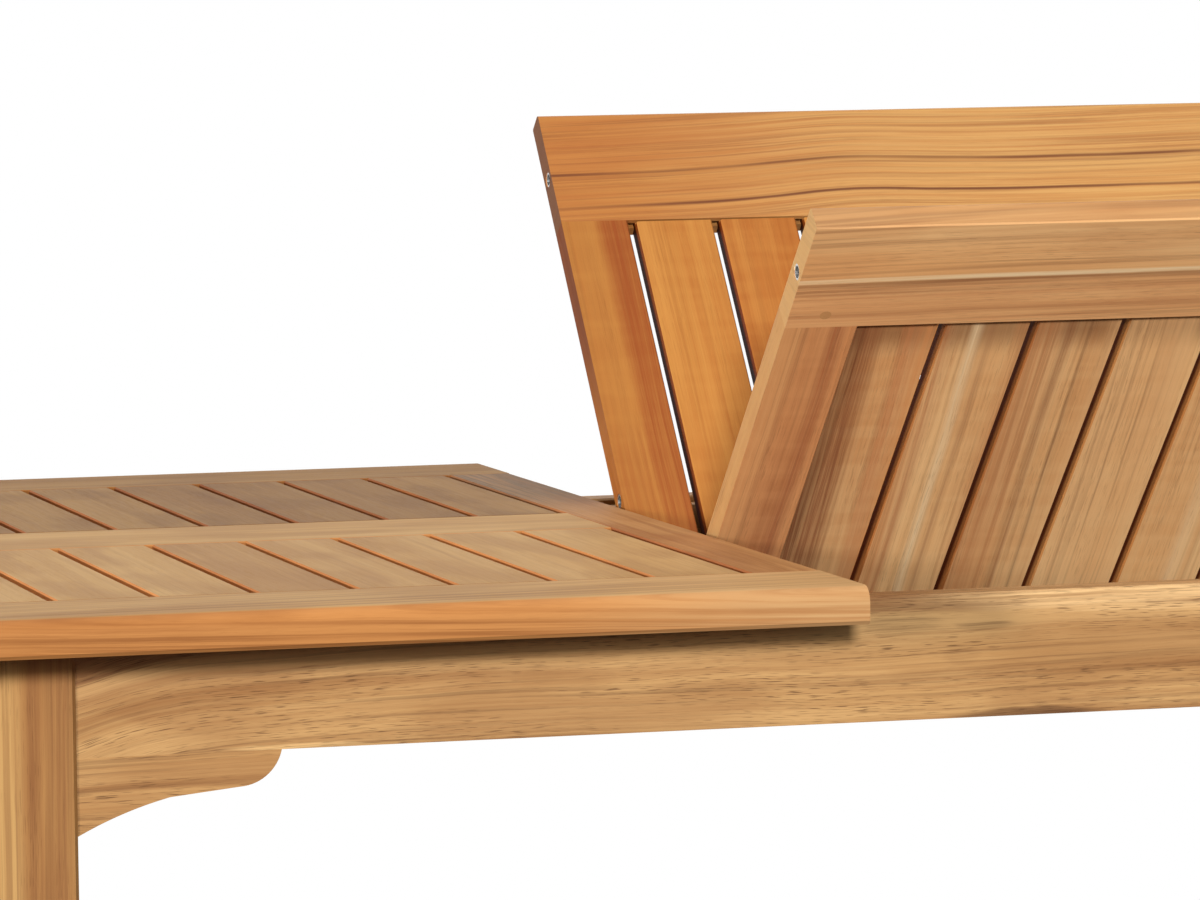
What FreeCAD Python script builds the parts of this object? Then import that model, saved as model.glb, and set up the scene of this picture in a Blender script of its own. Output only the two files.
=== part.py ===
import FreeCAD, Part
import math
import os

# Outdoor dining table: a four-leg frame, two tops that slide apart along it,
# and a butterfly leaf whose halves are hinged together and turn up out of the well.
# Millimetres. +X runs along the table, +Y to the far side, +Z up from the floor.
# Heights below are counted from the table surface and lifted to the floor on export.

# Overall
table_width = 1000.0
table_height = 750.0
top_length = 930.0
tolerance = 0.01

# Slats
slat_pitch = 64.75
top_slat_gap = 5.25
leaf_slat_gap = 7.0
slat_thickness = 14.0
slat_arris = 1.0
tongue_thickness = 6.0
tongue_depth = 8.0
tongue_drop = 4.0
shoulder_gap = 1.5

# Sliding tops
side_rail_width = 106.0
side_rail_thickness = 24.5
field_thickness = 19.0
inner_rail_width = 46.0
outer_rail_least = 80.0
centre_rail_width = 118.0
top_edge_radius = 11.0
under_arris = 2.5
rail_arris = 1.0
joint_arris = 0.4
rest_gap = 6.0
slide_out = 24.0

# Mortise and tenon joints of the tops and the leaf
tenon_length = 30.0
tenon_thickness = 8.0
tenon_drop = 5.0
tenon_shoulder = 8.0
mortise_relief = 0.5
peg_diameter = 8.0
peg_inset = 12.0
peg_cover = 4.0
small_round_faces = 12

# Leaf
leaf_slat_count = 8
leaf_rest_gap = 0.4
leaf_rail_width = 100.0
leaf_stile_width = 50.5
leaf_edge_radius = 3.0
leaf_under_arris = 1.0
front_slat_start = 0.2
hinge_line_gap = 1.0
swing_angle = 43.5
rear_lean = 39.7
hinge_drop = 111.0

# Locating pins on the tops and sockets in the leaf
pin_diameter = 8.0
pin_reach = 5.0
pin_embed = 20.0
pin_near = 155.0
pin_edge = 54.0
socket_diameter = 11.5
socket_depth = 20.0
bush_recess = 0.4
bush_length = 12.0
pin_clearance = 0.3

# Leaf hinges
hinge_count = 3
hinge_spacing = 200.0
hinge_length = 51.0
hinge_plate_width = 20.0
hinge_plate_thickness = 2.5
knuckle_radius = 4.0
knuckle_relief = 0.6
knuckle_gap = 0.4
hinge_pin_radius = 1.8
hinge_pin_clearance = 0.1

# Leaf pivots
arm_thickness = 24.0
arm_inset = 6.0
arm_toward_hinge = 76.0
arm_away = 16.0
arm_radius = 20.0
pivot_diameter = 12.0
pivot_clearance = 0.05
pivot_bush_wall = 3.0
leaf_end_gap = 3.0
pivot_end_gap = 2.0

# Frame
leg_size = 70.0
leg_arris = 2.5
leg_foot_arris = 2.0
leg_top_gap = 1.0
end_overhang = 53.0
apron_height = 81.5
apron_thickness = 28.0
apron_arris = 1.5
apron_guide_gap = 4.0
apron_setback = 3.0
end_setback = 5.0
apron_tenon_length = 30.0
apron_tenon_thickness = 10.0
apron_tenon_shoulder = 9.0

# Brackets under the aprons
bracket_length = 132.0
bracket_depth = 49.5
bracket_waist = 27.2
bracket_nose_length = 27.0
bracket_nose_drop = 22.6
bracket_nose_bulge = 6.0
bracket_cove_length = 59.5
bracket_cove_bulge = 2.0

# Cross rails, slide guides, runners and corner blocks
cross_rail_thickness = 28.0
cross_rail_top_gap = 5.0
cross_tenon_length = 10.0
cross_tenon_shoulder = 6.0
cross_notch_gap = 3.0
guide_width = 20.0
guide_height = 18.0
guide_top_gap = 5.0
runner_web = 20.0
runner_foot = 20.0
runner_foot_thickness = 9.0
runner_gap = 3.0
runner_lift_gap = 1.0
runner_setback = 10.0
block_leg = 75.0
block_gap = 4.0

# Derived places
V = FreeCAD.Vector
half_width = table_width / 2
leaf_length = 2 * leaf_stile_width + leaf_slat_gap + leaf_slat_count * slat_pitch
top_field = top_length - inner_rail_width - top_slat_gap
top_slat_count = int((top_field - outer_rail_least) / slat_pitch)
outer_rail_width = top_field - top_slat_count * slat_pitch
leaf_end = leaf_length / 2
top_inner = leaf_end + rest_gap
top_outer = top_inner + top_length
side_rail_in = half_width - side_rail_width
centre_half = centre_rail_width / 2
slide_z = -field_thickness
leaf_thickness = field_thickness - leaf_rest_gap
leaf_rail_in = half_width - leaf_rail_width
pivot_y = -hinge_drop / 2 / math.tan(math.radians(swing_angle) / 2)
pivot_z = -hinge_drop / 2
fold_angle = 90 - rear_lean + swing_angle
pin_z = -leaf_thickness / 2
pin_far = half_width - pin_edge

apron_out = side_rail_in - apron_guide_gap
apron_in = apron_out - apron_thickness
apron_bottom = slide_z - apron_height
leg_front = apron_out + apron_setback
leg_back = leg_front - leg_size
leg_end = top_length - end_overhang
leg_side = leg_end - leg_size
end_apron_out = leg_end - end_setback
end_apron_in = end_apron_out - apron_thickness
cross_near = leaf_end + leaf_end_gap
cross_far = cross_near + cross_rail_thickness
guide_in = apron_in - guide_width
guide_top = slide_z - guide_top_gap
guide_bottom = guide_top - guide_height
runner_out = guide_in - runner_gap
runner_in = runner_out - runner_web
runner_foot_top = guide_bottom - runner_lift_gap
runner_bottom = runner_foot_top - runner_foot_thickness
block_top = runner_bottom - block_gap
notch_floor = runner_bottom - cross_notch_gap
bush_radius = pivot_diameter / 2 + pivot_bush_wall


def block(x0, x1, y0, y1, z0, z1):
    corner = V(min(x0, x1), min(y0, y1), min(z0, z1))
    return Part.makeBox(abs(x1 - x0), abs(y1 - y0), abs(z1 - z0), corner)


def rod(radius, length, start, direction):
    return Part.makeCylinder(radius, length, start, direction)


# Small repeated rounds have few faces
def small_rod(radius, length, start, direction):
    across = direction.cross(V(1, 1, 1))
    across.normalize()
    up = direction.cross(across)
    turns = [2 * math.pi * i / small_round_faces for i in range(small_round_faces)]
    rim = [start + across * (radius * math.cos(a)) + up * (radius * math.sin(a)) for a in turns]
    return prism(straight_outline(rim), direction * length)


def edges_at(shape, points):
    return [e for e in shape.Edges if min((e.CenterOfMass - p).Length for p in points) < tolerance]


def edges_where(shape, test):
    return [e for e in shape.Edges if test(e.BoundBox)]


def mirror_x(shape):
    return shape.mirror(V(0, 0, 0), V(1, 0, 0))


def mirror_y(shape):
    return shape.mirror(V(0, 0, 0), V(0, 1, 0))


def prism(outline, direction):
    return Part.Face(Part.Wire(outline)).extrude(direction)


def straight_outline(points):
    return Part.makePolygon(points + points[:1]).Edges


def bowed_edge(start, end, bulge):
    middle = (start + end) * 0.5
    across = (end - start).cross(V(0, 1, 0))
    across.normalize()
    return Part.Arc(start, middle + across * bulge, end).toShape()


# Slats: a chamfered board with a tongue at both ends
def slat(x, width, y0, y1):
    a = slat_arris
    t = slat_thickness
    x1 = x + width
    outline = straight_outline([
        V(x, y0, -t), V(x1, y0, -t), V(x1, y0, -a), V(x1 - a, y0, 0), V(x + a, y0, 0), V(x, y0, -a)])
    board = prism(outline, V(0, y1 - y0, 0))
    reach = shoulder_gap + tongue_depth
    tongue = block(x, x1, y0 - reach, y1 + reach, -tongue_drop, -tongue_drop - tongue_thickness)
    return board.fuse(tongue).removeSplitter()


def slat_row(start, count, gap, rail_a, rail_b):
    width = slat_pitch - gap
    return [slat(start + i * slat_pitch, width, rail_a + shoulder_gap, rail_b - shoulder_gap)
            for i in range(count)]


def slat_groove(x0, x1, y, side):
    deep = y + side * (tongue_depth + mortise_relief)
    return block(x0, x1, y, deep, -tongue_drop, -tongue_drop - tongue_thickness)


def tenon_y(x0, x1, y, side, relief=0.0):
    deep = y + side * (tenon_length + relief)
    low = -tenon_drop - tenon_thickness
    return block(x0 + tenon_shoulder, x1 - tenon_shoulder, y, deep, low, -tenon_drop)


def tenon_x(y0, y1, x, side, relief=0.0):
    deep = x + side * (tenon_length + relief)
    low = -tenon_drop - tenon_thickness
    return block(x, deep, y0 + tenon_shoulder, y1 - tenon_shoulder, low, -tenon_drop)


def peg(x, y, under):
    return small_rod(peg_diameter / 2, under - peg_cover, V(x, y, -under), V(0, 0, 1))


# Sliding top, built at the +X end
def top_pins():
    tip = top_inner - pin_reach
    return [small_rod(pin_diameter / 2, pin_reach + pin_embed, V(tip, y, pin_z), V(1, 0, 0))
            for y in (-pin_far, -pin_near, pin_near, pin_far)]


def side_rail():
    middle_x = (top_inner + top_outer) / 2
    middle_y = (side_rail_in + half_width) / 2
    rail = block(top_inner, top_outer, side_rail_in, half_width, -side_rail_thickness, 0)
    rounded = edges_at(rail, [
        V(middle_x, half_width, 0), V(top_outer, middle_y, 0),
        V(top_outer, half_width, -side_rail_thickness / 2)])
    rail = rail.makeFillet(top_edge_radius, rounded)
    low = -side_rail_thickness + tolerance
    corner_y = half_width - top_edge_radius - tolerance
    corner_x = top_outer - top_edge_radius - tolerance
    outside = edges_where(rail, lambda b: b.ZMax < low and (b.YMin > corner_y or b.XMin > corner_x))
    rail = rail.makeChamfer(under_arris, outside)
    inside = edges_where(rail, lambda b: b.ZMin > -tolerance and b.YMax < side_rail_in + tolerance)
    rail = rail.makeChamfer(joint_arris, inside)
    field_start = top_inner + inner_rail_width
    field_end = top_outer - outer_rail_width
    cuts = [slat_groove(field_start, field_end, side_rail_in, 1)]
    cuts.append(tenon_y(top_inner, field_start, side_rail_in, 1, mortise_relief))
    cuts.append(tenon_y(field_end, top_outer, side_rail_in, 1, mortise_relief))
    return rail.cut(cuts + top_pins())


def end_rail(x0, x1):
    rail = block(x0, x1, -side_rail_in, side_rail_in, slide_z, 0)
    arris = edges_at(rail, [V(x0, 0, 0), V(x1, 0, 0)])
    rail = rail.makeChamfer(rail_arris, arris)
    shoulders = edges_at(rail, [V((x0 + x1) / 2, s * side_rail_in, 0) for s in (-1, 1)])
    rail = rail.makeChamfer(joint_arris, shoulders)
    return rail.fuse([tenon_y(x0, x1, s * side_rail_in, s) for s in (-1, 1)]).removeSplitter()


def inner_rail():
    x1 = top_inner + inner_rail_width
    rail = end_rail(top_inner, x1)
    mortise = tenon_x(-centre_half, centre_half, x1, -1, mortise_relief)
    return rail.cut([mortise] + top_pins())


def outer_rail():
    x0 = top_outer - outer_rail_width
    rail = block(x0, top_outer, -side_rail_in, side_rail_in, slide_z, 0)
    rail = rail.makeFillet(top_edge_radius, edges_at(rail, [V(top_outer, 0, 0)]))
    rail = rail.makeChamfer(under_arris, edges_at(rail, [V(top_outer, 0, slide_z)]))
    rail = rail.makeChamfer(rail_arris, edges_at(rail, [V(x0, 0, 0)]))
    rail = rail.fuse([tenon_y(x0, top_outer, s * side_rail_in, s) for s in (-1, 1)]).removeSplitter()
    mortise = tenon_x(-centre_half, centre_half, x0, 1, mortise_relief)
    return rail.cut(mortise)


def centre_rail():
    x0 = top_inner + inner_rail_width
    x1 = top_outer - outer_rail_width
    rail = block(x0, x1, -centre_half, centre_half, slide_z, 0)
    arris = edges_at(rail, [V((x0 + x1) / 2, s * centre_half, 0) for s in (-1, 1)])
    rail = rail.makeChamfer(rail_arris, arris)
    tenons = [tenon_x(-centre_half, centre_half, x0, -1), tenon_x(-centre_half, centre_half, x1, 1)]
    rail = rail.fuse(tenons).removeSplitter()
    return rail.cut([slat_groove(x0, x1, s * centre_half, -s) for s in (-1, 1)])


def top_slats():
    start = top_inner + inner_rail_width + top_slat_gap
    return slat_row(start, top_slat_count, top_slat_gap, centre_half, side_rail_in)


def runner():
    x0 = top_inner + runner_setback
    x1 = leg_side - slide_out
    web = block(x0, x1, runner_in, runner_out, runner_bottom, -slat_thickness)
    foot = block(x0, x1, runner_out, runner_out + runner_foot, runner_bottom, runner_foot_top)
    seat = block(x0, top_inner + inner_rail_width, runner_in, runner_out, slide_z, 0)
    return web.fuse(foot).removeSplitter().cut(seat)


# Leaf half, built flat on the +Y side of the hinge line
def hinge_centres():
    first = -hinge_spacing * (hinge_count - 1) / 2
    return [first + i * hinge_spacing for i in range(hinge_count)]


def leaf_sockets():
    return [small_rod(socket_diameter / 2, socket_depth, V(s * leaf_end, y, pin_z), V(-s, 0, 0))
            for s in (-1, 1) for y in (pin_near, pin_far)]


def leaf_bushes():
    bushes = []
    for s in (-1, 1):
        for y in (pin_near, pin_far):
            start = V(s * (leaf_end - bush_recess), y, pin_z)
            shell = small_rod(socket_diameter / 2, bush_length, start, V(-s, 0, 0))
            bore = small_rod(pin_diameter / 2 + pin_clearance, bush_length, start, V(-s, 0, 0))
            bushes.append(shell.cut(bore))
    return bushes


def leaf_pegs():
    stile = leaf_end - leaf_stile_width / 2
    return [peg(s * stile, y, leaf_thickness)
            for s in (-1, 1) for y in (centre_half - peg_inset, leaf_rail_in + peg_inset)]


def leaf_mortises():
    cuts = []
    for x0, x1 in ((-leaf_end, -leaf_end + leaf_stile_width), (leaf_end - leaf_stile_width, leaf_end)):
        cuts.append(tenon_y(x0, x1, leaf_rail_in, 1, mortise_relief))
        cuts.append(tenon_y(x0, x1, centre_half, -1, mortise_relief))
    return cuts


def leaf_outer_rail():
    rail = block(-leaf_end, leaf_end, leaf_rail_in, half_width, -leaf_thickness, 0)
    rail = rail.makeFillet(leaf_edge_radius, edges_at(rail, [V(0, half_width, 0)]))
    rail = rail.makeChamfer(leaf_under_arris, edges_at(rail, [V(0, half_width, -leaf_thickness)]))
    field = leaf_end - leaf_stile_width
    groove = slat_groove(-field, field, leaf_rail_in, 1)
    return rail.cut([groove] + leaf_mortises() + leaf_pegs() + leaf_sockets())


def leaf_hinge_rail():
    rail = block(-leaf_end, leaf_end, hinge_line_gap / 2, centre_half, -leaf_thickness, 0)
    field = leaf_end - leaf_stile_width
    cuts = [slat_groove(-field, field, centre_half, -1)]
    for x in hinge_centres():
        half = hinge_length / 2 + knuckle_gap
        cuts.append(rod(knuckle_radius + knuckle_relief, 2 * half, V(x - half, 0, 0), V(1, 0, 0)))
        cuts.append(block(x - half, x + half, 0, hinge_plate_width, -hinge_plate_thickness, 0))
    return rail.cut(cuts + leaf_mortises() + leaf_pegs())


def leaf_stile():
    x0 = leaf_end - leaf_stile_width
    stile = block(x0, leaf_end, centre_half, leaf_rail_in, -leaf_thickness, 0)
    middle_y = (centre_half + leaf_rail_in) / 2
    arris = edges_at(stile, [V(x0, middle_y, 0), V(x0, middle_y, -leaf_thickness)])
    stile = stile.makeChamfer(rail_arris, arris)
    tenons = [tenon_y(x0, leaf_end, leaf_rail_in, 1), tenon_y(x0, leaf_end, centre_half, -1)]
    stile = stile.fuse(tenons).removeSplitter()
    return stile.cut(leaf_pegs() + leaf_sockets())


def leaf_slats(first_gap):
    start = -leaf_end + leaf_stile_width + first_gap
    return slat_row(start, leaf_slat_count, leaf_slat_gap, centre_half, leaf_rail_in)


def hinge_leaf(x, spans):
    half = hinge_length / 2
    start = V(x - hinge_length, 0, 0)
    plate = block(x - half, x + half, hinge_line_gap / 2, hinge_plate_width, -hinge_plate_thickness, 0)
    body = plate.cut(rod(knuckle_radius + knuckle_relief, 2 * hinge_length, start, V(1, 0, 0)))
    for a, b in spans:
        web = block(a, b, 0, hinge_plate_width / 2, -hinge_plate_thickness, 0)
        body = body.fuse([small_rod(knuckle_radius, b - a, V(a, 0, 0), V(1, 0, 0)), web])
    bore = rod(hinge_pin_radius + hinge_pin_clearance, 2 * hinge_length, start, V(1, 0, 0))
    return body.removeSplitter().cut(bore)


def knuckle_edges(x):
    half = hinge_length / 2
    third = hinge_length / 6
    return [x - half, x - third - knuckle_gap / 2, x - third + knuckle_gap / 2,
            x + third - knuckle_gap / 2, x + third + knuckle_gap / 2, x + half]


def rear_hinge_leaves():
    leaves = []
    for x in hinge_centres():
        k = knuckle_edges(x)
        leaves.append(hinge_leaf(x, [(k[2], k[3])]))
    return leaves


def front_hinge_leaves():
    leaves = []
    for x in hinge_centres():
        k = knuckle_edges(x)
        leaf = mirror_y(hinge_leaf(x, [(k[0], k[1]), (k[4], k[5])]))
        pin = rod(hinge_pin_radius, hinge_length, V(k[0], 0, 0), V(1, 0, 0))
        collars = [rod(knuckle_radius - knuckle_relief, b - a, V(a, 0, 0), V(1, 0, 0))
                   for a, b in ((k[0], k[1]), (k[4], k[5]))]
        leaves.append(leaf.fuse([pin] + collars).removeSplitter())
    return leaves


# Pivot arm under the front half's stile, built flat at the +X end
def arm_touch(away, rise):
    turn = math.atan2(rise, away) - math.acos(arm_radius / math.hypot(away, rise))
    return arm_radius * math.cos(turn), arm_radius * math.sin(turn)


def pivot_arm():
    x0 = leaf_end - arm_inset - arm_thickness
    centre = V(x0, pivot_y, pivot_z)
    rise = -leaf_thickness - pivot_z
    near_y, near_z = arm_touch(arm_toward_hinge, rise)
    far_y, far_z = arm_touch(arm_away, rise)
    near = centre + V(0, near_y, near_z)
    far = centre + V(0, -far_y, far_z)
    low = centre + V(0, 0, -arm_radius)
    near_root = centre + V(0, arm_toward_hinge, rise)
    far_root = centre + V(0, -arm_away, rise)
    outline = [
        Part.makeLine(far_root, near_root), Part.makeLine(near_root, near),
        Part.Arc(near, low, far).toShape(), Part.makeLine(far, far_root)]
    return prism(outline, V(arm_thickness, 0, 0)).cut(pivot_pin())


def pivot_pin():
    x0 = leaf_end - arm_inset - arm_thickness + pivot_end_gap
    return rod(pivot_diameter / 2, cross_far - pivot_end_gap - x0, V(x0, pivot_y, pivot_z), V(1, 0, 0))


# Frame, built at the +X, +Y corner
def apron_tenon(relief=0.0):
    mid = (apron_out + apron_in) / 2
    half = apron_tenon_thickness / 2
    top = slide_z - apron_tenon_shoulder
    low = apron_bottom + apron_tenon_shoulder
    return block(leg_side, leg_side + apron_tenon_length + relief, mid - half, mid + half, low, top)


def end_tenon(relief=0.0):
    mid = (end_apron_out + end_apron_in) / 2
    half = apron_tenon_thickness / 2
    top = slide_z - apron_tenon_shoulder
    low = apron_bottom + apron_tenon_shoulder
    return block(mid - half, mid + half, leg_back, leg_back + apron_tenon_length + relief, low, top)


def leg():
    post = block(leg_side, leg_end, leg_back, leg_front, -table_height, slide_z - leg_top_gap)
    upright = edges_where(post, lambda b: b.ZLength > table_height / 2)
    post = post.makeChamfer(leg_arris, upright)
    foot = edges_where(post, lambda b: b.ZMax < -table_height + tolerance)
    post = post.makeChamfer(leg_foot_arris, foot)
    return post.cut([apron_tenon(mortise_relief), end_tenon(mortise_relief)])


def cross_tenon(side, relief=0.0):
    deep = side * (apron_in + cross_tenon_length + relief)
    low = apron_bottom + cross_tenon_shoulder
    return block(cross_near + cross_tenon_shoulder, cross_far - cross_tenon_shoulder,
                 side * apron_in, deep, low, notch_floor - cross_tenon_shoulder)


def long_apron():
    apron = block(-leg_side, leg_side, apron_in, apron_out, apron_bottom, slide_z)
    arris = edges_at(apron, [V(0, apron_out, slide_z), V(0, apron_in, slide_z)])
    apron = apron.makeChamfer(apron_arris, arris)
    apron = apron.fuse([apron_tenon(), mirror_x(apron_tenon())]).removeSplitter()
    mortise = cross_tenon(1, mortise_relief)
    return apron.cut([mortise, mirror_x(mortise)])


def end_apron():
    apron = block(end_apron_in, end_apron_out, -leg_back, leg_back, apron_bottom, slide_z)
    arris = edges_at(apron, [V(end_apron_out, 0, slide_z), V(end_apron_in, 0, slide_z)])
    apron = apron.makeChamfer(apron_arris, arris)
    return apron.fuse([end_tenon(), mirror_y(end_tenon())]).removeSplitter()


# Bracket: a convex nose, a nearly level waist and a cove down to the leg
def bracket_outline(y):
    top = apron_bottom
    def at(away, drop):
        return V(leg_side - away, y, top - drop)
    tip = at(bracket_length, 0)
    nose = at(bracket_length - bracket_nose_length, bracket_nose_drop)
    waist = at(bracket_cove_length, bracket_waist)
    low = at(0, bracket_depth)
    return [
        Part.makeLine(at(0, 0), tip), bowed_edge(tip, nose, -bracket_nose_bulge),
        Part.makeLine(nose, waist), bowed_edge(waist, low, bracket_cove_bulge),
        Part.makeLine(low, at(0, 0))]


def long_bracket():
    return prism(bracket_outline(apron_in), V(0, apron_thickness, 0))


def end_bracket():
    bracket = prism(bracket_outline(0), V(0, apron_thickness, 0))
    bracket.translate(V(-leg_side, 0, 0))
    bracket.rotate(V(0, 0, 0), V(0, 0, 1), 90)
    bracket.translate(V(end_apron_out, leg_back, 0))
    return bracket


def cross_rail():
    rail = block(cross_near, cross_far, -apron_in, apron_in, apron_bottom, slide_z - cross_rail_top_gap)
    notch_in = runner_in - cross_notch_gap
    notches = [block(cross_near, cross_far, s * notch_in, s * apron_in, notch_floor, 0) for s in (-1, 1)]
    rail = rail.cut(notches).fuse([cross_tenon(-1), cross_tenon(1)]).removeSplitter()
    seat = rod(bush_radius, cross_rail_thickness, V(cross_near, pivot_y, pivot_z), V(1, 0, 0))
    return rail.cut(seat)


def pivot_bush():
    start = V(cross_near, pivot_y, pivot_z)
    bore = pivot_diameter / 2 + pivot_clearance
    shell = rod(bush_radius, cross_rail_thickness, start, V(1, 0, 0))
    return shell.cut(rod(bore, cross_rail_thickness, start, V(1, 0, 0)))


def slide_guide():
    return block(-leg_side, leg_side, guide_in, apron_in, guide_bottom, guide_top)


def corner_block():
    z = apron_bottom
    outline = straight_outline([
        V(leg_side, apron_in, z), V(leg_side - block_leg, apron_in, z),
        V(end_apron_in, leg_back - block_leg, z), V(end_apron_in, leg_back, z), V(leg_side, leg_back, z)])
    return prism(outline, V(0, 0, block_top - apron_bottom))


# Poses at rest
def swing(shape):
    shape.rotate(V(0, pivot_y, pivot_z), V(1, 0, 0), -swing_angle)
    return shape


def unfold(shape):
    shape.rotate(V(0, 0, 0), V(1, 0, 0), fold_angle)
    return swing(shape)


def save(name, shapes):
    shape = shapes[0] if len(shapes) == 1 else Part.makeCompound(shapes)
    shape.translate(V(0, 0, table_height))
    shape.exportStep("parts/" + name + ".step")


def both_sides(shapes):
    return shapes + [mirror_x(s) for s in shapes]


def four_corners(name, shapes):
    save(name.format("rear_right"), [s.copy() for s in shapes])
    save(name.format("rear_left"), [mirror_x(s) for s in shapes])
    save(name.format("front_right"), [mirror_y(s) for s in shapes])
    save(name.format("front_left"), [mirror_x(mirror_y(s)) for s in shapes])


os.makedirs("parts", exist_ok=True)

# Frame
four_corners("leg_{}", [leg()])
four_corners("brackets_{}", [long_bracket(), end_bracket()])
save("apron_rear", [long_apron()])
save("apron_front", [mirror_y(long_apron())])
save("apron_right", [end_apron()])
save("apron_left", [mirror_x(end_apron())])
save("cross_rail_right", [cross_rail()])
save("cross_rail_left", [mirror_x(cross_rail())])
save("pivot_bushes", both_sides([pivot_bush()]))
save("slide_guide_rear", [slide_guide()])
save("slide_guide_front", [mirror_y(slide_guide())])
corner = [corner_block(), mirror_y(corner_block())]
save("corner_blocks_right", [s.copy() for s in corner])
save("corner_blocks_left", [mirror_x(s) for s in corner])

# Tops
for end, turn in (("right", lambda s: s.copy()), ("left", mirror_x)):
    save(end + "_top_rear_rail", [turn(side_rail())])
    save(end + "_top_front_rail", [turn(mirror_y(side_rail()))])
    save(end + "_top_inner_rail", [turn(inner_rail())])
    save(end + "_top_outer_rail", [turn(outer_rail())])
    save(end + "_top_centre_rail", [turn(centre_rail())])
    save(end + "_top_rear_slats", [turn(s) for s in top_slats()])
    save(end + "_top_front_slats", [turn(mirror_y(s)) for s in top_slats()])
    save(end + "_top_rear_runner", [turn(runner())])
    save(end + "_top_front_runner", [turn(mirror_y(runner()))])
    save(end + "_top_pins", [turn(s) for s in top_pins()])

# Leaf
front_half = ("front", lambda s: swing(mirror_y(s)), front_slat_start)
rear_half = ("rear", lambda s: unfold(s.copy()), leaf_slat_gap)
for half, turn, first_gap in (front_half, rear_half):
    save(half + "_leaf_outer_rail", [turn(leaf_outer_rail())])
    save(half + "_leaf_hinge_rail", [turn(leaf_hinge_rail())])
    save(half + "_leaf_right_stile", [turn(leaf_stile())])
    save(half + "_leaf_left_stile", [turn(mirror_x(leaf_stile()))])
    save(half + "_leaf_slats", [turn(s) for s in leaf_slats(first_gap)])
    save(half + "_leaf_pegs", [turn(s) for s in leaf_pegs()])
    save(half + "_leaf_bushes", [turn(s) for s in leaf_bushes()])
save("front_leaf_hinges", [swing(s) for s in front_hinge_leaves()])
save("rear_leaf_hinges", [unfold(s) for s in rear_hinge_leaves()])
save("front_leaf_arms", [swing(s) for s in both_sides([pivot_arm()])])
save("front_leaf_pivot_pins", [swing(s) for s in both_sides([pivot_pin()])])
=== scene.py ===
import bpy
import math
import random
from mathutils import Matrix, Vector


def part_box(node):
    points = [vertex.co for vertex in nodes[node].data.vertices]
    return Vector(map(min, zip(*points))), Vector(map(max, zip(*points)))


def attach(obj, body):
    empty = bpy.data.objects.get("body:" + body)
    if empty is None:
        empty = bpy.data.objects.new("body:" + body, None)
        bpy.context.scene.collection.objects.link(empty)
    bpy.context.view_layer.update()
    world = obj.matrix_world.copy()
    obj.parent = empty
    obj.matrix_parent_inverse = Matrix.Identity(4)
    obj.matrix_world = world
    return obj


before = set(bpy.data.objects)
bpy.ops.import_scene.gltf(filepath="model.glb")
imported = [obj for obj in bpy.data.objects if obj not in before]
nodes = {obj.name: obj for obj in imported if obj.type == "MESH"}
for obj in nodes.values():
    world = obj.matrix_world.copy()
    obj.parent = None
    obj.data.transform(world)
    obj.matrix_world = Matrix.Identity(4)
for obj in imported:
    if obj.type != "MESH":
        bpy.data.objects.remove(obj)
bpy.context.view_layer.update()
print("frame loaded:", len(nodes), "nodes")


# a socket that takes part in Python sums
class Wire:
    def __init__(self, graph, socket):
        self.graph = graph
        self.socket = socket

    def pick(self, output):
        return Wire(self.graph, self.socket.node.outputs[output])

    def sum(self, operation, *values):
        return self.graph.node("Math", {"operation": operation}, dict(enumerate(values)))

    def __add__(self, other):
        return self.sum("ADD", self, other)

    def __radd__(self, other):
        return self.sum("ADD", other, self)

    def __sub__(self, other):
        return self.sum("SUBTRACT", self, other)

    def __rsub__(self, other):
        return self.sum("SUBTRACT", other, self)

    def __mul__(self, other):
        return self.sum("MULTIPLY", self, other)

    def __truediv__(self, other):
        return self.sum("DIVIDE", self, other)

    def __rtruediv__(self, other):
        return self.sum("DIVIDE", other, self)

    def floor(self):
        return self.sum("FLOOR", self)

    def fraction(self):
        return self.sum("FRACT", self)

    def root(self):
        return self.sum("SQRT", self)

    def size(self):
        return self.sum("ABSOLUTE", self)

    # 0 below low, 1 above high, smooth between
    def step(self, low, high):
        return self.graph.node("MapRange", {"interpolation_type": "SMOOTHSTEP"}, {0: self, 1: low, 2: high})


class Graph:
    def __init__(self, tree):
        self.tree = tree
        tree.nodes.clear()

    def node(self, kind, settings=None, sockets=None, output=0):
        made = self.tree.nodes.new("ShaderNode" + kind)
        for key, value in (settings or {}).items():
            setattr(made, key, value)
        for key, value in (sockets or {}).items():
            if isinstance(value, Wire):
                self.tree.links.new(value.socket, made.inputs[key])
            else:
                made.inputs[key].default_value = value
        return Wire(self, made.outputs[output]) if made.outputs else made

    def noise(self, x, y, z, detail=2.0, rough=0.5):
        place = self.node("CombineXYZ", {}, {0: x, 1: y, 2: z})
        sockets = {"Vector": place, "Scale": 1.0, "Detail": detail, "Roughness": rough}
        return self.node("TexNoise", {}, sockets)

    def blend(self, amount, first, second, way="MIX"):
        return self.node("Mix", {"data_type": "RGBA", "blend_type": way}, {0: amount, 6: first, 7: second}, 2)

    # 1 for rays that show the background, 0 for light that bounces
    def shown(self):
        ray = self.node("LightPath", {}, {}, "Is Camera Ray")
        return (ray + ray.pick("Is Glossy Ray") + ray.pick("Is Transmission Ray")).step(0.0, 0.5)

    # equal steps of the given levels, from 0 to 1
    def stairs(self, value, levels):
        made = self.node("ValToRGB", {}, {0: value})
        ramp = made.socket.node.color_ramp
        ramp.interpolation = "CONSTANT"
        for i, level in enumerate(levels):
            stop = ramp.elements[i] if i < 2 else ramp.elements.new(i / len(levels))
            stop.position = i / len(levels)
            stop.color = (level, level, level, 1.0)
        return made


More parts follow.
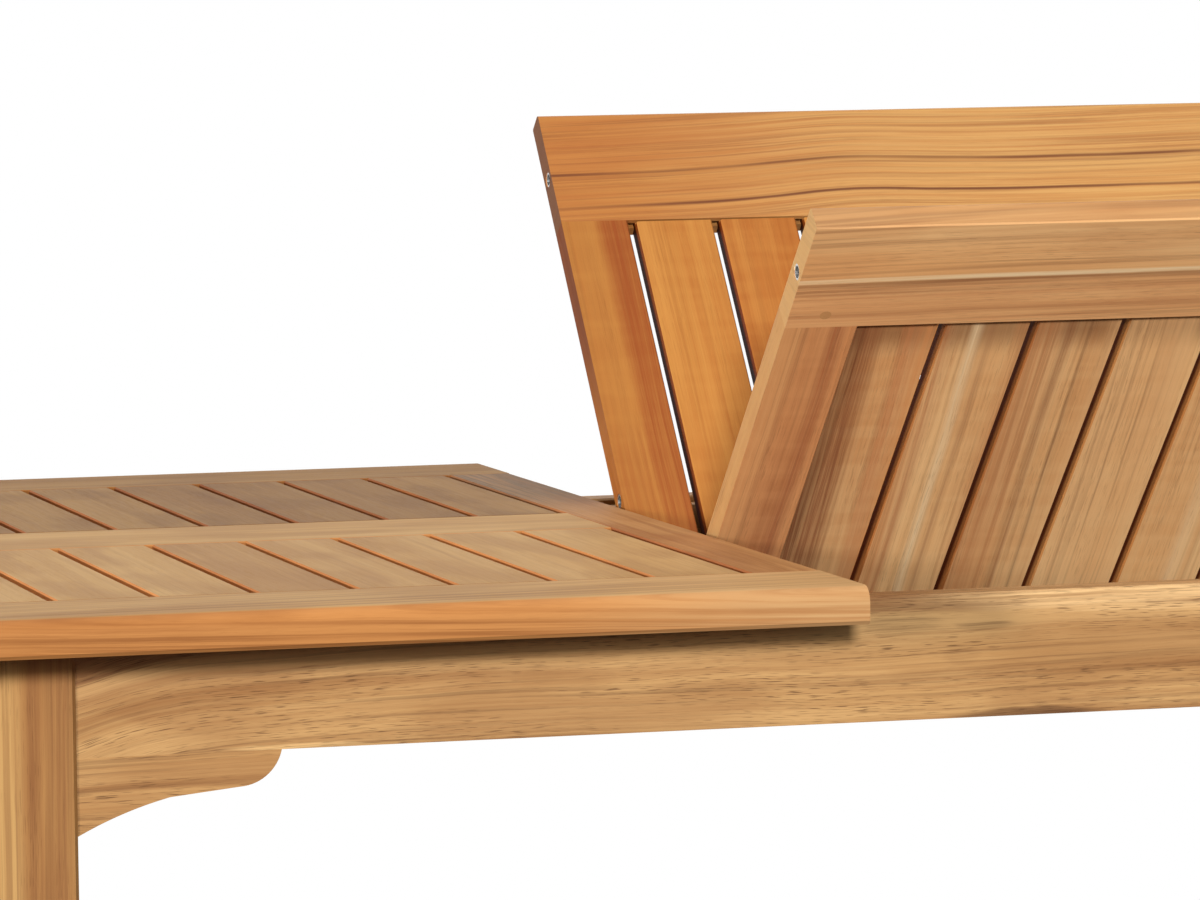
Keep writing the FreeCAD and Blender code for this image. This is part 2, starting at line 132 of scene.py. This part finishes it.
# a colour as seen on screen, as the shader wants it
def tone(red, green, blue):
    def linear(c):
        c = c / 255
        return c / 12.92 if c <= 0.04045 else ((c + 0.055) / 1.055) ** 2.4
    return (linear(red), linear(green), linear(blue), 1.0)


def newMaterial(name):
    material = bpy.data.materials.new(name)
    material.use_nodes = True
    return material, Graph(material.node_tree)


# teak in millimetres: lines round a far heart, fibres, streaks and pores along the grain
teakBase = {
    "grain": "x", "tilt": 0.0, "pitch": None, "tones": None, "vary": 0.0, "elbow": 0.0,
    "heart": (260.0, -120.0), "taper": 0.012, "lean": 0.004, "wave": 1.2, "swell": None,
    "dense": 0.11, "lines": 0.35, "fibre": 0.35, "pores": 0.25, "streaks": 0.35, "gleam": 0.3,
    "cloud": 0.2, "curl": 0.0, "bands": (), "smudges": (), "fade": None, "paintedShade": None, "edgeFade": None,
    "rough": 0.56, "gloss": 0.2, "flat": (0.25, 0.65), "under": False,
    "side": (1.0, 1.0, 1.0, 1.0), "sideFade": None, "wall": None, "end": (0.62, 0.58, 0.55, 1.0),
}
# each noise: steps per mm along and across the grain, level, detail, roughness, and where it starts and fills
teakFields = {
    "bend": (0.0028, 0.008, 0.0, 2.0, 0.5, None),
    "ripple": (0.014, 0.045, 0.0, 2.0, 0.5, None),
    "silk": (0.05, 0.8, 0.0, 2.0, 0.5, None),
    "broad": (0.0024, 0.028, 0.0, 3.0, 0.5, (0.3, 0.7)),
    "strength": (0.004, 0.07, 3.0, 2.0, 0.5, (0.36, 0.62)),
    "fine": (0.0035, 0.34, 7.0, 4.0, 0.68, (0.36, 0.66)),
    "streak": (0.0014, 0.08, 5.0, 4.0, 0.6, (0.5, 0.68)),
    "gleam": (0.0012, 0.09, 11.0, 4.0, 0.6, (0.52, 0.7)),
    "cloud": (0.007, 0.022, 3.0, 2.0, 0.5, (0.44, 0.62)),
    "patch": (0.006, 0.06, 0.0, 2.0, 0.5, (0.38, 0.62)),
    "pores": (0.065, 1.5, 0.0, 1.0, 0.5, (0.56, 0.7)),
    "curl": (0.075, 0.012, 0.0, 2.0, 0.4, (0.35, 0.65)),
}
teakMix = {
    "ringDrift": 0.0006, "ringDetail": 3.0, "ringRough": 0.6, "lineWidth": 0.05, "elbowAt": (45, 46),
    "seedShift": 130, "slatShift": 900, "slatDice": 7.3, "heartSpread": 120, "bend": 8, "slatTone": 1.2,
    "broad": 0.8, "fadeWander": 60, "fadeHold": 0.5, "edgeHold": 0.6, "wallEdge": (-2.0, 2.0),
    "smudgeWander": 8, "smudgeEdge": (0.15, 1.0),
    "endwise": (0.6, 0.95), "endPlain": 0.6, "bump": 0.15, "bumpDepth": 0.0005,
}


def teak(name, look):
    material, g = newMaterial(name)
    coords = g.node("TexCoord", {}, {}, "Object")
    turn = {"Rotation": (math.radians(look["tilt"]), 0.0, 0.0)}
    place = {"Vector": coords, "Location": look["origin"], "Scale": (0.001, 0.001, 0.001)}
    local = g.node("Mapping", {"vector_type": "TEXTURE"}, {**place, **turn})
    facing = g.node("Mapping", {"vector_type": "TEXTURE"}, {"Vector": coords.pick("Normal"), **turn})
    point = g.node("SeparateXYZ", {}, {0: local})
    normal = g.node("SeparateXYZ", {}, {0: facing})
    order = {"x": "XYZ", "y": "YXZ", "z": "ZXY", "upright x": "XZY", "upright y": "YZX"}[look["grain"]]
    along, across, depth = (point.pick(axis) for axis in order)
    endwise = normal.pick(order[0]).size().step(*teakMix["endwise"])
    flat = normal.pick("Z")
    flat = (flat.size() if look["under"] else flat).step(*look["flat"])
    if look["elbow"]:
        past = (along * look["elbow"]).step(*teakMix["elbowAt"])
        along, depth = along + past * (depth - along), depth + past * (along - depth)
        endwise = endwise * (1 - past)
    whole = across
    if look["pitch"]:
        share = across / look["pitch"]
        number = share.floor() + look["seed"] * teakMix["slatDice"]
        dice = g.node("TexWhiteNoise", {"noise_dimensions": "1D"}, {"W": number}, "Color")
        first = g.node("SeparateColor", {}, {0: dice})
        second, third = first.pick("Green"), first.pick("Blue")
        if look["tones"]:
            second = g.stairs(share / len(look["tones"]) + 0.5, look["tones"])
        across = (share.fraction() - 0.5) * look["pitch"]
    else:
        luck = random.Random(look["seed"])
        first, second, third = (luck.random() for i in range(3))
    shift = first * teakMix["slatShift"] + look["seed"] * teakMix["seedShift"]
    moved = along + shift

    # the named noise, through the wood, or on its rings where no depth is given
    def field(key, beside, deep=None):
        lengthwise, crosswise, level, detail, rough, edges = teakFields[key]
        if deep is not None:
            level = deep * crosswise + level
        made = g.noise(moved * lengthwise, beside * crosswise, level, detail, rough)
        return made.step(*edges) if edges else made - 0.5

    heartY = (third - 0.5) * look["vary"] * teakMix["heartSpread"] + look["heart"][0]
    ripple = field("ripple", across, depth)
    drift = field("bend", across, depth) * look["wave"] * teakMix["bend"] + ripple * look["wave"]
    drift = drift + along * look["lean"]
    if look["swell"]:
        peak, rise, spread = look["swell"]
        offset = (along - peak) / spread
        drift = drift - rise / (offset * offset + 1)
    sideways = across - heartY + drift
    away = depth - look["heart"][1] + along * look["taper"]
    reach = (sideways * sideways + away * away).root()
    ringPlace = (reach * look["dense"], moved * teakMix["ringDrift"], shift)
    rings = g.noise(*ringPlace, teakMix["ringDetail"], teakMix["ringRough"])
    ridge = 1 - (rings - 0.5).size().step(0.0, teakMix["lineWidth"])
    strength = field("strength", reach)
    late = ridge * (strength * 0.85 + 0.15)
    broad = field("broad", sideways, depth)
    fine = field("fine", reach)
    silk = field("silk", sideways, depth)
    streak = field("streak", reach)
    pores = field("pores", sideways, depth) * (field("patch", sideways, depth) * 0.85 + 0.15)
    colour = g.blend(broad * teakMix["broad"] + silk * look["fibre"], look["plain"], look["pale"])
    colour = g.blend((second - 0.5) * look["vary"] * teakMix["slatTone"], colour, look["deep"])
    colour = g.blend((0.5 - second) * look["vary"] * teakMix["slatTone"], colour, look["pale"])
    colour = g.blend(fine * look["fibre"], colour, look["deep"])
    colour = g.blend(streak * look["streaks"], colour, look["deep"])
    colour = g.blend(field("gleam", reach) * look["gleam"], colour, look["pale"])
    colour = g.blend(field("cloud", across, depth) * look["cloud"], colour, look["deep"])
    if look["curl"]:
        colour = g.blend(field("curl", sideways, depth) * look["curl"], colour, look["pale"])

    # a new colour along the board, with a wandering edge that the fibres break up
    def turnTo(change, hold):
        low, high, amount, tint = change
        wander = along + ripple * teakMix["fadeWander"]
        return g.blend(wander.step(low, high) * amount * (1 - fine * hold), colour, tint)

    if look["fade"]:
        colour = turnTo(look["fade"], teakMix["fadeHold"])
    # painted shade: darker towards the upper end, where the proud outer rail shades the recessed slats
    if look["paintedShade"]:
        low, high, amount, tint = look["paintedShade"]
        colour = g.blend(along.step(low, high) * amount, colour, tint)
    spot = whole + drift
    for low, high, soft, tint, amount in look["bands"]:
        inside = spot.step(low - soft, low + soft) * (1 - spot.step(high - soft, high + soft))
        broken = strength * 0.7 + 0.35 if soft < 1 else fine * 0.6 + 0.6
        colour = g.blend(inside * amount * broken, colour, tint)
    for middle, level, length, height, tint, amount in look["smudges"]:
        beside = (along - middle) / length
        above = (whole + ripple * teakMix["smudgeWander"] - level) / height
        inside = 1 - (beside * beside + above * above).step(*teakMix["smudgeEdge"])
        colour = g.blend(inside * amount * (fine + streak * 0.5 + 0.15), colour, tint)
    colour = g.blend(late * look["lines"], colour, look["line"])
    colour = g.blend(pores * look["pores"], colour, look["line"])
    side = look["side"]
    # painted shade in the slat gaps: the deep part of a side takes the wall tint, the part near the face the
    # side tint
    if look["wall"]:
        side = g.blend(depth.step(*teakMix["wallEdge"]), look["wall"], side)
    if look["sideFade"]:
        low, high, tint = look["sideFade"]
        side = g.blend(along.step(low, high), tint, side)
    colour = g.blend(1 - flat, colour, g.blend(1.0, colour, side, "MULTIPLY"))
    if look["edgeFade"]:
        colour = turnTo(look["edgeFade"], teakMix["edgeHold"])
    ending = g.blend(teakMix["endPlain"], colour, look["plain"])
    colour = g.blend(endwise, colour, g.blend(1.0, ending, look["end"], "MULTIPLY"))
    height = silk * 0.8 - fine * 0.2 - pores * 0.6 - late * 0.2
    relief = {"Strength": teakMix["bump"], "Distance": teakMix["bumpDepth"], "Height": height}
    bump = g.node("Bump", {}, relief)
    shine = look["rough"] + silk * 0.2 + pores * 0.08
    sockets = {"Base Color": colour, "Roughness": shine, "Specular IOR Level": look["gloss"], "Normal": bump}
    g.node("OutputMaterial", {}, {"Surface": g.node("BsdfPrincipled", {}, sockets)})
    return material


# in steps per metre: dull clouds, and scratches that run along X
metalGrain = {"cloud": 220, "scratchAlong": 60, "scratchAcross": 1500, "dullFrom": 0.35, "dullTo": 0.75}


def metal(name, look):
    material, g = newMaterial(name)
    coords = g.node("TexCoord", {}, {}, "Object")
    px = g.node("SeparateXYZ", {}, {0: coords})
    py, pz = px.pick("Y"), px.pick("Z")
    size, thin = metalGrain["cloud"], metalGrain["scratchAcross"]
    cloud = g.noise(px * size, py * size, pz * size, 3.0)
    scratch = g.noise(px * metalGrain["scratchAlong"], py * thin, pz * thin, 2.0)
    dull = cloud.step(metalGrain["dullFrom"], metalGrain["dullTo"])
    colour = g.blend(dull * look["dulling"], look["bright"], look["dull"])
    shine = look["rough"] + (scratch - 0.5) * 0.25 + cloud * 0.08
    bump = g.node("Bump", {}, {"Strength": 0.06, "Distance": 0.0002, "Height": scratch})
    sockets = {"Base Color": colour, "Metallic": 1.0, "Roughness": shine, "Normal": bump}
    g.node("OutputMaterial", {}, {"Surface": g.node("BsdfPrincipled", {}, sockets)})
    return material


metals = {
    "brass": {"bright": tone(222, 186, 112), "dull": tone(164, 128, 70), "dulling": 0.5, "rough": 0.32},
    "steel": {"bright": tone(226, 228, 228), "dull": tone(176, 178, 176), "dulling": 0.4, "rough": 0.26},
}
metalMaterials = {key: metal(key, look) for key, look in metals.items()}


def palette(pale, plain, deep, line):
    return {"pale": tone(*pale), "plain": tone(*plain), "deep": tone(*deep), "line": tone(*line)}


# how each kind of board is cut and coloured
leafTilt = {"front": 136.5, "rear": 50.3}
slatPitch = 64.75
palettes = {
    "orange": palette((194, 135, 68), (177, 115, 54), (156, 82, 34), (96, 44, 20)),
    "tan": palette((252, 204, 144), (242, 182, 119), (200, 134, 82), (116, 66, 38)),
    "rosy": palette((224, 160, 104), (204, 137, 84), (166, 98, 56), (96, 48, 28)),
    "olive": palette((206, 166, 112), (192, 150, 97), (158, 115, 72), (122, 80, 48)),
    "smoky": palette((167, 129, 80), (149, 110, 66), (114, 79, 47), (98, 62, 38)),
    "amber": palette((204, 154, 100), (182, 130, 80), (142, 88, 50), (104, 60, 34)),
    "gold": palette((212, 167, 110), (187, 140, 86), (142, 92, 50), (76, 44, 24)),
    "red": palette((188, 138, 80), (167, 114, 63), (128, 76, 40), (80, 42, 24)),
    "inner": palette((190, 146, 98), (168, 122, 78), (130, 88, 54), (88, 54, 32)),
}
sapTone = tone(250, 218, 170)
darkTone = tone(104, 50, 26)
# painted shade in the gaps between leaf slats: the slat sides dark, the deep part of each gap darkest
leafSlatSideShade = (0.55, 0.29, 0.19, 1.0)
leafSlatWallShade = (0.12, 0.045, 0.03, 1.0)
# top slat sides: oranger as unweathered side grain, and brightened as painted light in the gaps, where shade
# would fall
topSlatSideAndLight = (1.15, 0.74, 0.5, 1.0)
edgeSide = (0.98, 0.69, 0.5, 1.0)

# boards that differ from the rest of their palette
special = {
    "front_leaf_outer_rail": {
        "lean": -0.018, "fibre": 0.3, "streaks": 0.2,
        "end": (0.96, 1.08, 1.05, 1.0), "side": (0.65, 0.61, 0.55, 1.0),
        "bands": (
            (-60, -4, 5, tone(216, 150, 97), 0.5), (-36, -30, 3, darkTone, 0.2),
            (-14, -10, 2, darkTone, 0.25), (-5, -1, 1.5, darkTone, 0.45), (-1, 3, 1, sapTone, 0.9))},
    "front_leaf_left_stile": {
        **palettes["rosy"], "streaks": 0.5, "lines": 0.2, "curl": 0.25, "side": (0.95, 1.06, 0.98, 1.0),
        "bands": (
            (-30, -9, 5, tone(226, 168, 110), 0.6), (-12, -8, 2, tone(160, 100, 62), 0.3),
            (9, 17, 4, tone(158, 82, 46), 0.5), (20, 30, 2, tone(226, 152, 94), 0.5))},
    "front_leaf_right_stile": {**palettes["rosy"], "streaks": 0.5, "lines": 0.2},
    "front_leaf_slats": {
        "tones": (0.75, 0.35, 0.65, 0.35, 0.45, 0.6, 0.3, 0.7),
        "gleam": 0.4, "lines": 0.2, "fibre": 0.25, "lean": 0.035, "pores": 0.22, "curl": 0.2,
        # the side tint is painted shade in the gaps, and the darkening towards the upper end is painted shade
        # from the proud outer rail
        "side": (0.7, 0.54, 0.37, 1.0), "paintedShade": (126, 158, 0.6, tone(112, 68, 42)),
        "bands": (
            # the first band is a painted shadow, cast by the proud left stile across the first slat
            (-280, -230, 8, tone(148, 92, 58), 0.85), (-214, -200, 3, tone(206, 132, 84), 0.5),
            (-200, -186, 5, tone(224, 150, 92), 0.6), (-187, -179, 4, tone(182, 108, 66), 0.45),
            (-167, -160, 3, sapTone, 0.6),
            (-155, -151, 2.5, tone(166, 112, 76), 0.45), (-136, -104, 5, tone(204, 138, 88), 0.6),
            (-101, -95, 3, tone(136, 80, 50), 0.55), (-84, -82, 1.2, tone(110, 74, 50), 0.45),
            (-70, -8, 4, tone(242, 188, 130), 0.5), (-55, -54, 0.7, darkTone, 0.3),
            (-43, -42, 0.7, darkTone, 0.35), (-31, -30, 0.7, darkTone, 0.3), (-20, -19, 0.7, darkTone, 0.25),
            (30, 40, 4, sapTone, 0.3), (88, 96, 4, tone(176, 104, 64), 0.5),
            (150, 158, 3, sapTone, 0.4), (214, 222, 4, tone(160, 96, 60), 0.45))},
    "rear_leaf_outer_rail": {
        "lean": -0.022, "swell": (-81.0, 7.0, 70.0), "lines": 0.3, "pores": 0.12,
        "streaks": 0.25, "gleam": 0.2, "fibre": 0.3,
        "end": (0.42, 0.36, 0.28, 1.0), "fade": (-310, -20, 0.8, tone(202, 157, 95)),
        "plain": tone(170, 108, 50), "pale": tone(188, 128, 63),
        "bands": (
            (-2.3, 0.3, 0.9, tone(92, 42, 20), 0.85), (-6, -4.8, 0.8, darkTone, 0.4),
            (-32.8, -30.4, 0.9, tone(92, 42, 20), 0.85), (-24, -23, 0.8, darkTone, 0.35),
            (9, 10, 0.8, darkTone, 0.35), (24, 25, 0.8, darkTone, 0.25))},
    "rear_leaf_left_stile": {
        "curl": 0.35, "lines": 0.12, "pores": 0.1, "gloss": 0.1,
        "plain": tone(152, 92, 41), "pale": tone(178, 120, 58),
        "side": (0.53, 0.33, 0.2, 1.0), "sideFade": (-60, 90, (1.2, 1.08, 0.88, 1.0)),
        "smudges": ((-90, 0, 95, 45, tone(146, 80, 36), 0.55),),
        "bands": ((-30, 2, 6, tone(176, 119, 56), 0.5), (4, 40, 6, tone(138, 65, 27), 0.7))},
    "rear_leaf_right_stile": {"curl": 0.3, "lines": 0.12, "streaks": 0.2, "pores": 0.1},
    "rear_leaf_slats": {
        "tones": (0.25, 0.9, 0.4, 0.7, 0.3, 0.55, 0.45, 0.65),
        "lines": 0.12, "pores": 0.12, "curl": 0.2, "fibre": 0.25},
    "left_top_front_rail": {
        "heart": (120.0, -260.0), "taper": 0.03, "dense": 0.16, "lines": 0.45, "fibre": 0.5,
        "edgeFade": (200, 470, 0.85, tone(212, 168, 116))},
    "left_top_rear_rail": palettes["smoky"],
    "left_top_inner_rail": {**palettes["amber"], "streaks": 0.6, "fade": (0, 240, 1.0, tone(116, 94, 72))},
    "right_top_inner_rail": {**palettes["amber"], "streaks": 0.6},
    "left_top_rear_slats": {
        # the side tint is partly painted light in the gaps between the slats
        **palettes["smoky"], "side": (1.05, 0.6, 0.4, 1.0),
        "tones": (0.5, 0.4, 0.6, 0.5, 0.45, 0.55, 0.3, 0.2, 0.75, 0.78, 0.8, 0.4)},
    "left_top_front_slats": {"tones": (0.5, 0.6, 0.4, 0.55, 0.5, 0.5, 0.5, 1.0, 0.68, 0.6, 0.4, 0.3)},
    "apron_front": {
        "swell": (-830.0, -30.0, 60.0),
        "bands": (
            (29, 70, 2, tone(146, 96, 58), 0.6), (27, 29, 0.8, darkTone, 0.5),
            (17, 26, 3, tone(226, 180, 120), 0.4)),
        "smudges": (
            (-60, 37, 230, 16, tone(240, 196, 138), 0.85), (-263, 21, 34, 8, tone(116, 90, 56), 0.5),
            (-205, 19, 24, 4, tone(104, 76, 46), 0.6), (-222, 0, 16, 8, tone(128, 88, 52), 0.4),
            (-178, -40, 64, 5, tone(92, 60, 36), 0.6), (-660, -40, 60, 2.5, tone(236, 190, 128), 0.8))},
}


def boardLook(name, seed):
    look = {**teakBase, "seed": seed, "origin": (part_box(name)[0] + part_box(name)[1]) / 2}
    half = name.split("_leaf_")[0] if "_leaf_" in name else None
    if half:
        look.update(palettes["tan" if half == "front" else "orange"], tilt=leafTilt[half])
        look["grain"] = "x" if name.endswith(("outer_rail", "hinge_rail")) else "y"
    elif "_top_" in name:
        lengthwise = name.endswith(("front_rail", "rear_rail", "centre_rail", "runner"))
        look.update(palettes["inner" if name.endswith("runner") else "olive"], side=edgeSide, gloss=0.05)
        look.update(lines=0.12, pores=0.1, streaks=0.3, fibre=0.2, cloud=0.38)
        look.update(grain="x" if lengthwise else "y", flat=(0.92, 0.99))
    elif name.startswith(("cross", "slide", "corner")):
        look.update(palettes["inner"], grain="y" if name.startswith("cross") else "x")
    elif name.startswith("leg"):
        look.update(palettes["red"], grain="z", lines=0.3, streaks=0.45, fibre=0.25)
        look["bands"] = (
            (-40, 0, 5, tone(206, 160, 98), 0.8), (6, 9, 2, darkTone, 0.3), (20, 30, 3, darkTone, 0.3))
    else:
        look.update(palettes["gold"], grain="upright x", pores=0.7, streaks=0.5, cloud=0.35)
        look.update(wave=2.5, taper=0.02)
        if name in ("apron_left", "apron_right"):
            look["grain"] = "upright y"
        if name.startswith("brackets"):
            look["elbow"] = -1.0 if name.endswith("left") else 1.0
            look["plain"] = tone(208, 156, 95)
    if name.endswith("slats"):
        look.update(pitch=slatPitch, vary=1.0, under=True)
        if half:
            look.update(side=leafSlatSideShade, wall=leafSlatWallShade, gloss=0.05)
        else:
            look.update(side=topSlatSideAndLight, flat=(0.75, 0.95))
    if name.endswith("pegs"):
        look["grain"] = "z"
    return {**look, **special.get(name, {})}


def dress(node, material):
    node.data.materials.clear()
    node.data.materials.append(material)


for seed, name in enumerate(sorted(nodes)):
    if name.endswith(("_bushes", "_pins")) and name != "pivot_bushes":
        dress(nodes[name], metalMaterials["steel"])
    elif name.endswith(("hinges", "bushes")):
        dress(nodes[name], metalMaterials["brass"])
    else:
        dress(nodes[name], teak(name, boardLook(name, seed + 1)))
print("materials:", len(bpy.data.materials))


# small fasteners, modelled once at the origin with +Z out of the wood
def selectFaces(mesh, test):
    bpy.ops.object.mode_set(mode="OBJECT")
    for vertex in mesh.vertices:
        vertex.select = False
    for line in mesh.edges:
        line.select = False
    for face in mesh.polygons:
        face.select = test(face)
    bpy.ops.object.mode_set(mode="EDIT")


def startRound(sides, radius, depth, top):
    bpy.ops.object.select_all(action="DESELECT")
    middle = (0, 0, top - depth / 2)
    bpy.ops.mesh.primitive_cylinder_add(vertices=sides, radius=radius, depth=depth, location=middle)
    bpy.ops.object.transform_apply(location=True, rotation=False, scale=False)
    return bpy.context.object


levelEnough = 0.9


def facesUp(face):
    return face.normal.z > levelEnough


def facesDown(face):
    return face.normal.z < -levelEnough


screwSettings = {
    "sides": 20, "radius": 0.0032, "rise": 0.00015, "sink": 0.002, "cone": 0.5, "rim": 0.0003,
    "slot": (0.0038, 0.0008, 0.0018),
}


def modelScrew():
    sides, radius = screwSettings["sides"], screwSettings["radius"]
    screw = startRound(sides, radius, screwSettings["sink"], screwSettings["rise"])
    bpy.ops.object.mode_set(mode="EDIT")
    bpy.ops.mesh.select_mode(type="FACE")
    selectFaces(screw.data, facesDown)
    bpy.ops.transform.resize(value=(screwSettings["cone"], screwSettings["cone"], 1.0))
    selectFaces(screw.data, facesUp)
    bpy.ops.mesh.bevel(offset=screwSettings["rim"], segments=2, affect="EDGES")
    bpy.ops.object.mode_set(mode="OBJECT")
    for turn in (0.0, math.pi / 2):
        bpy.ops.object.select_all(action="DESELECT")
        top = (0, 0, screwSettings["rise"])
        bpy.ops.mesh.primitive_cube_add(size=1.0, location=top, rotation=(0, 0, turn))
        cutter = bpy.context.object
        cutter.scale = screwSettings["slot"]
        bpy.ops.object.transform_apply(location=True, rotation=True, scale=True)
        bpy.context.view_layer.objects.active = screw
        cross = screw.modifiers.new("cross", "BOOLEAN")
        cross.operation = "DIFFERENCE"
        cross.object = cutter
        bpy.ops.object.modifier_apply(modifier="cross")
        bpy.data.objects.remove(cutter)
    return screw


boltSettings = {
    "washer": (24, 0.0095, 0.0016), "nut": (6, 0.0075, 0.0065), "stud": (16, 0.004, 0.004),
    "edge": 0.0006, "crown": 0.00036, "sunk": 0.0005,
}


def modelBolt():
    parts = []
    level = -boltSettings["sunk"]
    for key in ("washer", "nut", "stud"):
        sides, radius, depth = boltSettings[key]
        level += depth
        piece = startRound(sides, radius, depth, level)
        bpy.ops.object.mode_set(mode="EDIT")
        bpy.ops.mesh.select_mode(type="FACE")
        selectFaces(piece.data, facesUp)
        bpy.ops.mesh.inset(thickness=boltSettings["edge"])
        bpy.ops.transform.translate(value=(0, 0, boltSettings["crown"]))
        bpy.ops.object.mode_set(mode="OBJECT")
        parts.append(piece)
    bpy.ops.object.select_all(action="DESELECT")
    for piece in parts:
        piece.select_set(True)
    bpy.context.view_layer.objects.active = parts[0]
    bpy.ops.object.join()
    return parts[0]


# points at the given shares of a length
def alongX(low, high, shares, y, z):
    return [Vector((low.x + (high.x - low.x) * share, y, z)) for share in shares]


def placeCopies(master, name, body, slotName, spots):
    for i, (spot, outward) in enumerate(spots):
        piece = master.copy()
        piece.data = master.data.copy()
        turn = Vector(outward).to_track_quat("Z", "Y").to_matrix().to_4x4()
        piece.data.transform(Matrix.Translation(spot) @ turn)
        piece.name = name + str(i + 1)
        bpy.context.scene.collection.objects.link(piece)
        dress(piece, metalMaterials[slotName])
        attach(piece, body)


hingeSettings = {"line": 0.639, "centres": (-0.2, 0.0, 0.2), "aside": 0.017, "away": 0.0125}
runnerSettings = {"shares": (0.12, 0.5, 0.88), "web": 0.01}
guideSettings = {"shares": (0.08, 0.36, 0.64, 0.92)}
cornerSettings = {"spot": (0.788, 0.305, 0.672), "outward": (-0.713, -0.701, 0.0)}
screw = modelScrew()
bolt = modelBolt()
for half, side in (("front", -1), ("rear", 1)):
    lean = math.radians(leafTilt[half])
    upward = Vector((0, math.cos(lean), math.sin(lean)))
    outward = Vector((0, -side * upward.z, side * upward.y))
    spots = []
    for centre in hingeSettings["centres"]:
        for aside in (-hingeSettings["aside"], hingeSettings["aside"]):
            spot = Vector((centre + aside, 0, hingeSettings["line"])) + upward * hingeSettings["away"]
            spots.append((spot, outward))
    placeCopies(screw, half + "HingeScrew", half + "_leaf", "brass", spots)
for end in ("left", "right"):
    for row, side in (("front", -1), ("rear", 1)):
        low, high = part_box(end + "_top_" + row + "_runner")
        y = high.y - runnerSettings["web"] if side < 0 else low.y + runnerSettings["web"]
        points = alongX(low, high, runnerSettings["shares"], y, low.z)
        spots = [(spot, (0, 0, -1)) for spot in points]
        placeCopies(screw, end + row.title() + "RunnerScrew", end + "_top", "steel", spots)
for row, side in (("front", -1), ("rear", 1)):
    low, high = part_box("slide_guide_" + row)
    y = high.y if side < 0 else low.y
    z = (low.z + high.z) / 2
    points = alongX(low, high, guideSettings["shares"], y, z)
    spots = [(spot, (0, -side, 0)) for spot in points]
    placeCopies(screw, row + "GuideScrew", "frame", "steel", spots)
spots = []
for x in (-1, 1):
    for y in (-1, 1):
        flip = Matrix.Diagonal((x, y, 1))
        spots.append((flip @ Vector(cornerSettings["spot"]), flip @ Vector(cornerSettings["outward"])))
placeCopies(bolt, "cornerBolt", "frame", "steel", spots)
bpy.data.objects.remove(screw)
bpy.data.objects.remove(bolt)
print("fasteners placed")

# floor, world and lamps
floorSettings = {
    "sides": 96, "radius": 2.7, "fade": 0.55, "rim": 0.98,
    "colour": (0.86, 0.86, 0.85, 1.0), "bounce": (0.08, 0.08, 0.08, 1.0),
}
floorRadius = floorSettings["radius"]
bpy.ops.object.select_all(action="DESELECT")
bpy.ops.mesh.primitive_circle_add(vertices=floorSettings["sides"], radius=floorRadius, fill_type="NGON")
floor = bpy.context.object
floor.name = "floor"
floorMaterial, g = newMaterial("paleFloor")
coords = g.node("TexCoord", {}, {}, "Object")
away = g.node("VectorMath", {"operation": "LENGTH"}, {0: coords}, "Value")
edge = away.step(floorRadius * (1 - floorSettings["fade"]), floorRadius * floorSettings["rim"])
clear = g.node("BsdfTransparent")
floorColour = g.blend(g.shown(), floorSettings["bounce"], floorSettings["colour"])
matt = g.node("BsdfDiffuse", {}, {"Color": floorColour})
g.node("OutputMaterial", {}, {"Surface": g.node("MixShader", {}, {0: edge, 1: matt, 2: clear})})
dress(floor, floorMaterial)

lightSettings = {
    "ambient": 0.04, "away": 3.0,
    "key": {"strength": 2.45, "angle": 5.0, "from": (-0.215, -0.95, 0.22)},
    "side": {"strength": 1.9, "angle": 8.0, "from": (-0.77, -0.60, 0.14)},
    "above": {"strength": 1.9, "angle": 60.0, "from": (-0.1, 0.2, 1.0)},
    "back": {"strength": 0.15, "angle": 60.0, "from": (0.5, 0.8, 0.4)},
}
world = bpy.data.worlds.new("studio")
bpy.context.scene.world = world
world.use_nodes = True
g = Graph(world.node_tree)
level = g.shown() * (1 - lightSettings["ambient"]) + lightSettings["ambient"]
sky = g.node("Background", {}, {"Color": (1, 1, 1, 1), "Strength": level})
g.node("OutputWorld", {}, {"Surface": sky})
for lampName in ("key", "side", "above", "back"):
    lamp = lightSettings[lampName]
    bpy.ops.object.light_add(type="SUN", location=Vector(lamp["from"]) * lightSettings["away"])
    sun = bpy.context.object
    sun.name = lampName
    sun.data.energy = lamp["strength"]
    sun.data.angle = math.radians(lamp["angle"])
    sun.rotation_euler = Vector(lamp["from"]).to_track_quat("Z", "Y").to_euler()
print("floor and lamps set")

# camera: set back from the left top's inner end, turned right by yaw, down by pitch, and rolled
cameraSettings = {
    "aside": -1.2725, "y": -4.4668, "z": 1.1815, "yaw": 15.460, "pitch": 4.7186, "roll": -0.6714,
    "lens": 199.35, "sensor": 36.0, "clipEnd": 50,
}
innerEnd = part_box("left_top_inner_rail")[1].x
cameraSpot = (innerEnd + cameraSettings["aside"], cameraSettings["y"], cameraSettings["z"])
bpy.ops.object.camera_add(location=cameraSpot)
camera = bpy.context.object
camera.data.sensor_width = cameraSettings["sensor"]
camera.data.lens = cameraSettings["lens"]
facing = Matrix.Rotation(math.radians(-cameraSettings["yaw"]), 3, "Z")
facing = facing @ Matrix.Rotation(math.radians(90 - cameraSettings["pitch"]), 3, "X")
facing = facing @ Matrix.Rotation(math.radians(cameraSettings["roll"]), 3, "Z")
camera.rotation_euler = facing.to_euler()
camera.data.clip_end = cameraSettings["clipEnd"]
scene = bpy.context.scene
scene.camera = camera
scene.view_settings.view_transform = "Standard"
print("camera set")
